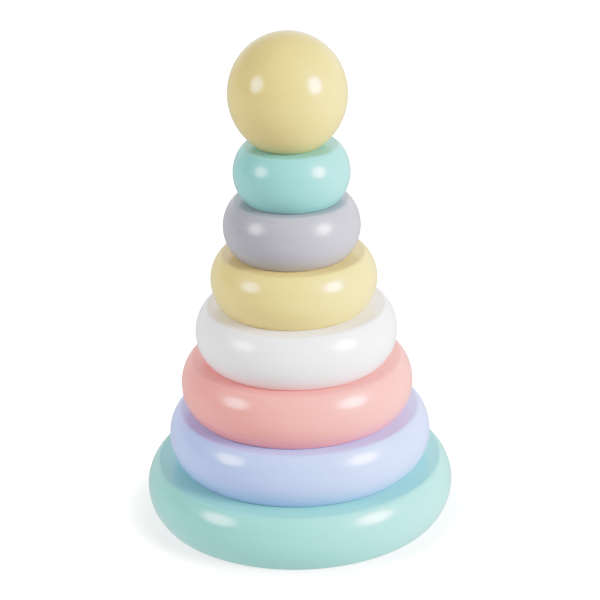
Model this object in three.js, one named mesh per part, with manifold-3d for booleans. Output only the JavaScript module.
// A wooden ring stacking tower: a round base with an upright peg, six loose rings that slide onto
// the peg in order of size, and a bored ball that caps it. Millimetres, +Z up. The origin is the
// centre of the base's underside, on the surface that the tower stands on.
import * as THREE from "three";
import { mergeVertices } from "three/addons/utils/BufferGeometryUtils.js";
import Module from "manifold-3d";

const wasm = await Module();
wasm.setup();

// Driving dimensions of the turned discs
const BASE_DIAMETER = 120;
const BASE_THICKNESS = 21.7;
const BLUE_DIAMETER = 102;
const CORAL_DIAMETER = 90;
const WHITE_DIAMETER = 78;
const YELLOW_DIAMETER = 64;
const GREY_DIAMETER = 52.5;
const MINT_DIAMETER = 44.5;
const RING_THICKNESS = 21.2;
const SIDE_BULGE = 4.3; // how far a disc's barrel-shaped side swells beyond its two faces
const EDGE_RADIUS = 2; // eased edge between a face and the side
const BORE_EDGE_RADIUS = 1.2; // eased edge at both mouths of a ring's bore

// Driving dimensions of the peg and the ball
const PEG_DIAMETER = 14;
const PEG_TIP_RADIUS = 3; // rounding of the peg's upper end
const PEG_RISE = 20; // how far the peg stands above the top ring, inside the ball
const PEG_FOOT_CHAMFER = 1;
const SOCKET_FLOOR = 7; // wood left in the base under the peg's socket
const BALL_DIAMETER = 45;
const BALL_RISE = 23.4; // from the ball's widest line to its top: it is a little taller than wide
const BALL_SEAT_DIAMETER = 24.5; // flat that the ball stands on
const BALL_MOUTH_RADIUS = 0.8; // eased mouth of the ball's bore

// Driving dimensions of the countersunk wood screw that holds the peg from below
const SCREW_LENGTH = 35;
const SCREW_HEAD_DIAMETER = 8;
const SCREW_RIM = 0.5; // straight rim of the head, below its cone
const SCREW_THREAD_DIAMETER = 4;
const SCREW_CORE_DIAMETER = 2.8;
const SCREW_PITCH = 1.8;
const SCREW_TIP_LENGTH = 4;
const SCREW_SHANK_LENGTH = 8; // plain stretch between the head's cone and the thread
const SCREW_HEAD_RECESS = 1; // the head's face sits this far inside the underside
const DRIVE_SPAN = 4.6; // tip to tip of the cross recess
const DRIVE_WIDTH = 1.1;
const DRIVE_DEPTH = 1.8;

// Clearances
const RING_PLAY = 2; // peg to ring bore, all round
const BALL_PLAY = 1.5; // peg to ball bore, all round
const PEG_TIP_GAP = 2; // peg tip to the end of the ball's bore
const GLUE_GAP = 0.2; // peg to the wall and floor of its socket
const STACK_GAP = 0.1; // between stacked faces, the ball's seat among them
const SCREW_CLEARANCE = 0.3; // screw to the holes that it passes through

// Facets
const ROUND_STEPS = 48;
const SIDE_STEPS = 6;
const EDGE_STEPS = 2;
const BALL_HALF_STEPS = 8; // from the ball's widest line to each end
const PEG_TIP_STEPS = 4;
const SCREW_ROUND_STEPS = 24;
const THREAD_ROWS_PER_TURN = 4;

// Rings from the base upwards. Each lies as it was dropped on: its sideways shift is a share of the play
// between the peg and its bore.
const RINGS = [
  { name: "blue_ring", diameter: BLUE_DIAMETER, shiftShare: 0.23, colour: 0xc2d1f0 },
  { name: "coral_ring", diameter: CORAL_DIAMETER, shiftShare: -0.06, colour: 0xf0b8b1 },
  { name: "white_ring", diameter: WHITE_DIAMETER, shiftShare: 0.065, colour: 0xe9e9ea },
  { name: "yellow_ring", diameter: YELLOW_DIAMETER, shiftShare: -0.15, colour: 0xe5d8a3 },
  { name: "grey_ring", diameter: GREY_DIAMETER, shiftShare: -0.28, colour: 0xbfbdc8 },
  { name: "mint_ring", diameter: MINT_DIAMETER, shiftShare: -0.05, colour: 0xa6dcd6 },
];
const BALL_SHIFT_SHARE = -0.55; // the ball's own shift, as a share of its play
const BASE_COLOUR = 0xaadad5;
const BALL_COLOUR = 0xe5d8a3;
const WOOD_COLOUR = 0xdcc09a;
const STEEL_COLOUR = 0xb9bcc0;

// Sizes that follow from the driving dimensions
const pegRadius = PEG_DIAMETER / 2;
const ringBoreRadius = pegRadius + RING_PLAY;
const ballBoreRadius = pegRadius + BALL_PLAY;
const ballRadius = BALL_DIAMETER / 2;
const ringPitch = RING_THICKNESS + STACK_GAP;
const firstRingZ = BASE_THICKNESS + STACK_GAP;
const ringZ = (index) => firstRingZ + index * ringPitch;
const ringShift = (ring) => ring.shiftShare * RING_PLAY;
const stackTop = ringZ(RINGS.length - 1) + RING_THICKNESS;
const pegFootZ = SOCKET_FLOOR + GLUE_GAP;
const pegTopZ = stackTop + PEG_RISE;

// The ball stands with its flat on the top ring. Its section is an oval, so the flat's width says how far
// below the widest line it was cut.
const ballShift = BALL_SHIFT_SHARE * BALL_PLAY;
const seatAngle = Math.acos(BALL_SEAT_DIAMETER / BALL_DIAMETER);
const seatDrop = BALL_RISE * Math.sin(seatAngle);
const ballZ = stackTop + STACK_GAP + seatDrop;

const point = (r, z) => new THREE.Vector2(r, z);

// Points on an arc about (r, z), from one angle to another, both ends included. A rise of its own makes
// the arc part of an oval.
function arc(r, z, radius, from, to, steps, rise = radius) {
  return new THREE.EllipseCurve(r, z, radius, rise, from, to, to < from).getPoints(steps);
}

// A profile of radius and height, turned about Z. Going up the outside and down the inside faces it out.
function turned(profile, steps = ROUND_STEPS) {
  return new THREE.LatheGeometry(profile, steps).rotateX(Math.PI / 2);
}

// The outer profile of a turned disc, from its lower face round the barrel side to its upper face.
// The side is one arc through the two sharp corners, and an eased edge is tangent to it and to a face.
function barrelSide(outerRadius, thickness) {
  const half = thickness / 2;
  const sideRadius = (half ** 2 + SIDE_BULGE ** 2) / (2 * SIDE_BULGE);
  const sideCentre = outerRadius - sideRadius;
  const edgeHeight = half - EDGE_RADIUS;
  const edgeCentre = sideCentre + Math.sqrt((sideRadius - EDGE_RADIUS) ** 2 - edgeHeight ** 2);
  const meet = Math.atan2(edgeHeight, edgeCentre - sideCentre);
  const lowEdge = arc(edgeCentre, EDGE_RADIUS, EDGE_RADIUS, -Math.PI / 2, -meet, EDGE_STEPS);
  const side = arc(sideCentre, half, sideRadius, -meet, meet, SIDE_STEPS);
  const highEdge = arc(edgeCentre, half + edgeHeight, EDGE_RADIUS, meet, Math.PI / 2, EDGE_STEPS);
  return [...lowEdge, ...side.slice(1, -1), ...highEdge];
}

function ringGeometry(diameter) {
  const bore = ringBoreRadius;
  const edge = BORE_EDGE_RADIUS;
  const outside = barrelSide(diameter / 2, RING_THICKNESS);
  const highMouth = arc(bore + edge, RING_THICKNESS - edge, edge, Math.PI / 2, Math.PI, EDGE_STEPS);
  const lowMouth = arc(bore + edge, edge, edge, Math.PI, Math.PI * 1.5, EDGE_STEPS);
  return turned([...outside, ...highMouth, ...lowMouth, outside[0].clone()]);
}

// The base has a blind socket for the peg in its top, and a countersunk screw hole up to that socket.
function baseGeometry() {
  const outside = barrelSide(BASE_DIAMETER / 2, BASE_THICKNESS);
  const socketRadius = pegRadius + GLUE_GAP;
  const holeRadius = SCREW_THREAD_DIAMETER / 2 + SCREW_CLEARANCE;
  const sinkRadius = SCREW_HEAD_DIAMETER / 2 + SCREW_CLEARANCE;
  const sinkTop = SCREW_HEAD_RECESS + SCREW_RIM;
  return turned([
    ...outside,
    point(socketRadius, BASE_THICKNESS),
    point(socketRadius, SOCKET_FLOOR),
    point(holeRadius, SOCKET_FLOOR),
    point(holeRadius, sinkTop + (sinkRadius - holeRadius)),
    point(sinkRadius, sinkTop),
    point(sinkRadius, 0),
    outside[0].clone(),
  ]);
}

// The peg is a dowel with a rounded tip, a chamfered foot and a pilot hole for the screw.
function pegGeometry() {
  const length = pegTopZ - pegFootZ;
  const pilotRadius = SCREW_THREAD_DIAMETER / 2 + SCREW_CLEARANCE;
  const pilotDepth = SCREW_HEAD_RECESS + SCREW_LENGTH + SCREW_CLEARANCE - pegFootZ;
  const tipRing = pegRadius - PEG_TIP_RADIUS;
  const tipHeight = length - PEG_TIP_RADIUS;
  const tip = arc(tipRing, tipHeight, PEG_TIP_RADIUS, 0, Math.PI / 2, PEG_TIP_STEPS);
  return turned([
    point(0, pilotDepth),
    point(pilotRadius, pilotDepth - pilotRadius),
    point(pilotRadius, 0),
    point(pegRadius - PEG_FOOT_CHAMFER, 0),
    point(pegRadius, PEG_FOOT_CHAMFER),
    ...tip,
    point(0, length),
  ]);
}

// The ball about the middle of its widest line, with a blind bore from the flat below.
function ballGeometry() {
  const boreEnd = pegTopZ + PEG_TIP_GAP - ballZ;
  const edge = BALL_MOUTH_RADIUS;
  const mouth = arc(ballBoreRadius + edge, edge - seatDrop, edge, Math.PI, Math.PI * 1.5, EDGE_STEPS);
  const lower = arc(0, 0, ballRadius, -seatAngle, 0, BALL_HALF_STEPS, BALL_RISE);
  const upper = arc(0, 0, ballRadius, 0, Math.PI / 2, BALL_HALF_STEPS, BALL_RISE);
  return turned([
    point(0, boreEnd),
    point(ballBoreRadius, boreEnd),
    ...mouth,
    ...lower,
    ...upper.slice(1, -1),
    point(0, BALL_RISE),
  ]);
}

// A closed mesh as a manifold solid, with the vertices that its faces share merged.
function solid(geometry) {
  const bare = geometry.clone();
  bare.deleteAttribute("normal");
  bare.deleteAttribute("uv");
  const merged = mergeVertices(bare);
  return new wasm.Manifold(
    new wasm.Mesh({
      numProp: 3,
      vertProperties: merged.attributes.position.array,
      triVerts: new Uint32Array(merged.index.array),
    }),
  );
}

function geometryOf(manifold) {
  const mesh = manifold.getMesh();
  const geometry = new THREE.BufferGeometry();
  geometry.setAttribute("position", new THREE.BufferAttribute(mesh.vertProperties, 3));
  geometry.setIndex(new THREE.BufferAttribute(mesh.triVerts, 1));
  geometry.computeVertexNormals();
  return geometry;
}

// The screw's body as rows of points round Z. A row's radius follows the head, the plain shank, and
// then a ridge that winds round the core once per pitch and fades into the tip.
function screwBody() {
  const headRadius = SCREW_HEAD_DIAMETER / 2;
  const shankRadius = SCREW_THREAD_DIAMETER / 2;
  const coneTop = SCREW_RIM + headRadius - shankRadius;
  const threadStart = coneTop + SCREW_SHANK_LENGTH;
  const tipStart = SCREW_LENGTH - SCREW_TIP_LENGTH;
  const rowHeight = SCREW_PITCH / THREAD_ROWS_PER_TURN;
  const threadRows = Math.floor((SCREW_LENGTH - threadStart) / rowHeight);
  const ridge = shankRadius - SCREW_CORE_DIAMETER / 2;

  const rows = [
    [0, () => headRadius],
    [SCREW_RIM, () => headRadius],
    [coneTop, () => shankRadius],
    [threadStart, () => shankRadius],
  ];
  for (let row = 1; row < threadRows; row++) {
    const height = threadStart + row * rowHeight;
    const narrowing = Math.min(1, (SCREW_LENGTH - height) / (SCREW_LENGTH - tipStart));
    rows.push([
      height,
      (angle) => {
        const turn = (height - threadStart) / SCREW_PITCH - angle / (2 * Math.PI);
        const crest = Math.max(0, Math.cos(2 * Math.PI * turn));
        return narrowing * (SCREW_CORE_DIAMETER / 2 + ridge * crest);
      },
    ]);
  }

  const positions = [0, 0, 0, 0, 0, SCREW_LENGTH];
  for (const [height, radiusAt] of rows) {
    for (let step = 0; step < SCREW_ROUND_STEPS; step++) {
      const angle = (2 * Math.PI * step) / SCREW_ROUND_STEPS;
      const radius = radiusAt(angle);
      positions.push(radius * Math.cos(angle), radius * Math.sin(angle), height);
    }
  }
  const headPole = 0;
  const tipPole = 1;
  const vertex = (row, step) => 2 + row * SCREW_ROUND_STEPS + (step % SCREW_ROUND_STEPS);
  const last = rows.length - 1;
  const faces = [];
  for (let step = 0; step < SCREW_ROUND_STEPS; step++) {
    faces.push(headPole, vertex(0, step + 1), vertex(0, step));
    faces.push(tipPole, vertex(last, step), vertex(last, step + 1));
    for (let row = 0; row < last; row++) {
      faces.push(vertex(row, step), vertex(row, step + 1), vertex(row + 1, step + 1));
      faces.push(vertex(row, step), vertex(row + 1, step + 1), vertex(row + 1, step));
    }
  }
  const geometry = new THREE.BufferGeometry();
  geometry.setAttribute("position", new THREE.BufferAttribute(new Float32Array(positions), 3));
  geometry.setIndex(faces);
  return geometry;
}

// The screw with a cross recess in the face of its head. The recess starts below the face to cut it clean.
function screwGeometry() {
  const bar = (spanX, spanY) => solid(new THREE.BoxGeometry(spanX, spanY, 2 * DRIVE_DEPTH));
  const cross = bar(DRIVE_SPAN, DRIVE_WIDTH).add(bar(DRIVE_WIDTH, DRIVE_SPAN));
  return geometryOf(solid(screwBody()).subtract(cross));
}

function piece(name, geometry, colour, roughness, metalness, x, z) {
  const material = new THREE.MeshStandardMaterial({ color: colour, roughness, metalness });
  const mesh = new THREE.Mesh(geometry, material);
  mesh.name = name;
  mesh.position.set(x, 0, z);
  return mesh;
}

const PAINT_ROUGHNESS = 0.35;
const WOOD_ROUGHNESS = 0.6;
const STEEL_ROUGHNESS = 0.3;

const tower = new THREE.Group();
tower.add(piece("base", baseGeometry(), BASE_COLOUR, PAINT_ROUGHNESS, 0, 0, 0));
tower.add(piece("centre_peg", pegGeometry(), WOOD_COLOUR, WOOD_ROUGHNESS, 0, 0, pegFootZ));
tower.add(piece("peg_screw", screwGeometry(), STEEL_COLOUR, STEEL_ROUGHNESS, 1, 0, SCREW_HEAD_RECESS));

RINGS.forEach((ring, index) => {
  const geometry = ringGeometry(ring.diameter);
  tower.add(piece(ring.name, geometry, ring.colour, PAINT_ROUGHNESS, 0, ringShift(ring), ringZ(index)));
});
tower.add(piece("top_ball", ballGeometry(), BALL_COLOUR, PAINT_ROUGHNESS, 0, ballShift, ballZ));

export default tower;
